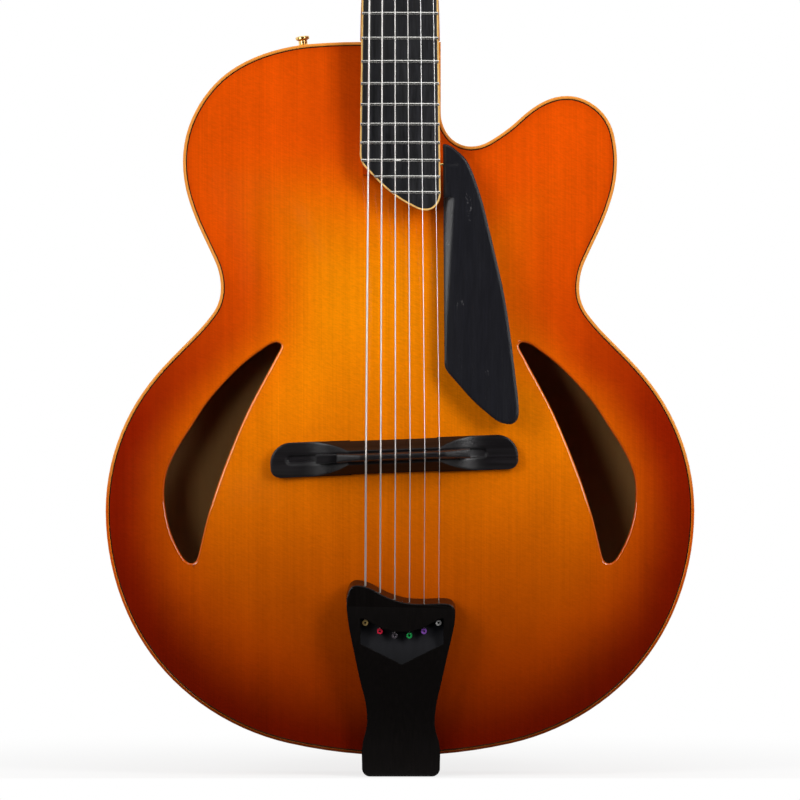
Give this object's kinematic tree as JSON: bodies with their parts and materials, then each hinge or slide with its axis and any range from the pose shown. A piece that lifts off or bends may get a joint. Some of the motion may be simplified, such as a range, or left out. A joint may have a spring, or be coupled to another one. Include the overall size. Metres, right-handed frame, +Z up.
{
  "type": "archtop guitar",
  "caption": "Acoustic archtop guitar with carved sunburst top, rounded cutaway, wing-shaped soundholes, floating ebony bridge, pickguard and tailpiece, and geared tuners.",
  "frame": {"origin": "on the centre line at the nut's playing side, in the plane of the top's edge", "axes": "+Z up the neck towards the headstock, soundboard facing -Y, +X towards the treble side with the cutaway"},
  "size_m": [0.4076, 0.1329, 1.0483],
  "materials": {
    "sunburst_spruce": "gloss lacquer, amber middle to red-brown edge",
    "flamed_maple": "gloss lacquer, red-brown",
    "inner_wood": "bare wood",
    "binding_wood": "gloss lacquer",
    "black_line": "gloss",
    "ebony": "satin black wood",
    "cream_binding": "gloss",
    "fret_metal": "polished",
    "bone": "polished bone",
    "steel": "drawn wire",
    "string_bronze": "round wound",
    "gold": "polished gold plate",
    "ball_brass": "coloured rings",
    "tuner_black": "gloss black"
  },
  "bodies": {
    "instrument": {"top_plate": "sunburst_spruce", "top_purfling": "black_line", "back_plate": "flamed_maple", "top_binding": "binding_wood", "back_binding": "binding_wood", "bass_rim": "flamed_maple", "treble_rim": "flamed_maple", "neck_block": "inner_wood", "tail_block": "inner_wood", "top_linings": "inner_wood", "back_linings": "inner_wood", "tone_bars": "inner_wood", "heel_cap": "ebony", "neck": "flamed_maple", "truss_rod": "steel", "headstock_veneer": "ebony", "truss_rod_cover": "ebony", "fingerboard": "ebony", "fingerboard_binding": "cream_binding", "frets": "fret_metal", "nut": "bone", "wound_strings": "string_bronze", "plain_strings": "steel", "ball_ends": "ball_brass", "bridge_base": "ebony", "tailpiece": "ebony", "tailpiece_screws": "gold", "pickguard": "ebony", "pickguard_supports": "gold", "strap_button": "gold", "end_pin": "ebony", "tuner_housings": "gold", "tuner_bushings": "gold"},
    "tuner_key_1": {"tuner_button_1": "tuner_black", "tuner_worm_1": "gold"},
    "string_post_1": {"tuner_post_1": "gold", "string_winding_1": "steel"},
    "tuner_key_2": {"tuner_button_2": "tuner_black", "tuner_worm_2": "gold"},
    "string_post_2": {"tuner_post_2": "gold", "string_winding_2": "steel"},
    "tuner_key_3": {"tuner_button_3": "tuner_black", "tuner_worm_3": "gold"},
    "string_post_3": {"tuner_post_3": "gold", "string_winding_3": "string_bronze"},
    "tuner_key_4": {"tuner_button_4": "tuner_black", "tuner_worm_4": "gold"},
    "string_post_4": {"tuner_post_4": "gold", "string_winding_4": "string_bronze"},
    "tuner_key_5": {"tuner_button_5": "tuner_black", "tuner_worm_5": "gold"},
    "string_post_5": {"tuner_post_5": "gold", "string_winding_5": "string_bronze"},
    "tuner_key_6": {"tuner_button_6": "tuner_black", "tuner_worm_6": "gold"},
    "string_post_6": {"tuner_post_6": "gold", "string_winding_6": "string_bronze"},
    "wedge": {"bridge_wedge": "ebony"},
    "saddle": {"bridge_saddle": "ebony"}
  },
  "joints": [
    {"name": "key_1_turn", "type": "hinge", "parent": "instrument", "child": "tuner_key_1", "pos_m": [0.0265, 0.03137, 0.0361], "axis": [1, 0, 0], "continuous": true},
    {"name": "post_1_turn", "type": "hinge", "parent": "instrument", "child": "string_post_1", "pos_m": [0.0265, 0.01769, 0.0488], "axis": [0, -0.9598, 0.2807], "continuous": true},
    {"name": "key_2_turn", "type": "hinge", "parent": "instrument", "child": "tuner_key_2", "pos_m": [0.0281, 0.04288, 0.07545], "axis": [1, 0, 0], "continuous": true},
    {"name": "post_2_turn", "type": "hinge", "parent": "instrument", "child": "string_post_2", "pos_m": [0.0281, 0.0292, 0.08815], "axis": [0, -0.9598, 0.2807], "continuous": true},
    {"name": "key_3_turn", "type": "hinge", "parent": "instrument", "child": "tuner_key_3", "pos_m": [0.0297, 0.05439, 0.1148], "axis": [1, 0, 0], "continuous": true},
    {"name": "post_3_turn", "type": "hinge", "parent": "instrument", "child": "string_post_3", "pos_m": [0.0297, 0.0407, 0.1275], "axis": [0, -0.9598, 0.2807], "continuous": true},
    {"name": "key_4_turn", "type": "hinge", "parent": "instrument", "child": "tuner_key_4", "pos_m": [-0.0297, 0.05439, 0.1148], "axis": [-1, 0, 0], "continuous": true},
    {"name": "post_4_turn", "type": "hinge", "parent": "instrument", "child": "string_post_4", "pos_m": [-0.0297, 0.0407, 0.1275], "axis": [0, -0.9598, 0.2807], "continuous": true},
    {"name": "key_5_turn", "type": "hinge", "parent": "instrument", "child": "tuner_key_5", "pos_m": [-0.0281, 0.04288, 0.07545], "axis": [-1, 0, 0], "continuous": true},
    {"name": "post_5_turn", "type": "hinge", "parent": "instrument", "child": "string_post_5", "pos_m": [-0.0281, 0.0292, 0.08815], "axis": [0, -0.9598, 0.2807], "continuous": true},
    {"name": "key_6_turn", "type": "hinge", "parent": "instrument", "child": "tuner_key_6", "pos_m": [-0.0265, 0.03137, 0.0361], "axis": [-1, 0, 0], "continuous": true},
    {"name": "post_6_turn", "type": "hinge", "parent": "instrument", "child": "string_post_6", "pos_m": [-0.0265, 0.01769, 0.0488], "axis": [0, -0.9598, 0.2807], "continuous": true},
    {"name": "wedge_slide", "type": "slide", "parent": "instrument", "child": "wedge", "axis": [-0.9993, 0, -0.0384], "range_m": [0, 0.01]},
    {"name": "saddle_drop", "type": "slide", "parent": "instrument", "child": "saddle", "axis": [0, 1, 0], "range_m": [0, 0.000625]}
  ],
  "couplings": [
    {"joint": "post_1_turn", "follows": "key_1_turn", "ratio": -0.066667},
    {"joint": "post_2_turn", "follows": "key_2_turn", "ratio": -0.066667},
    {"joint": "post_3_turn", "follows": "key_3_turn", "ratio": -0.066667},
    {"joint": "post_4_turn", "follows": "key_4_turn", "ratio": 0.066667},
    {"joint": "post_5_turn", "follows": "key_5_turn", "ratio": 0.066667},
    {"joint": "post_6_turn", "follows": "key_6_turn", "ratio": 0.066667},
    {"joint": "saddle_drop", "follows": "wedge_slide", "ratio": 0.0625}
  ]
}
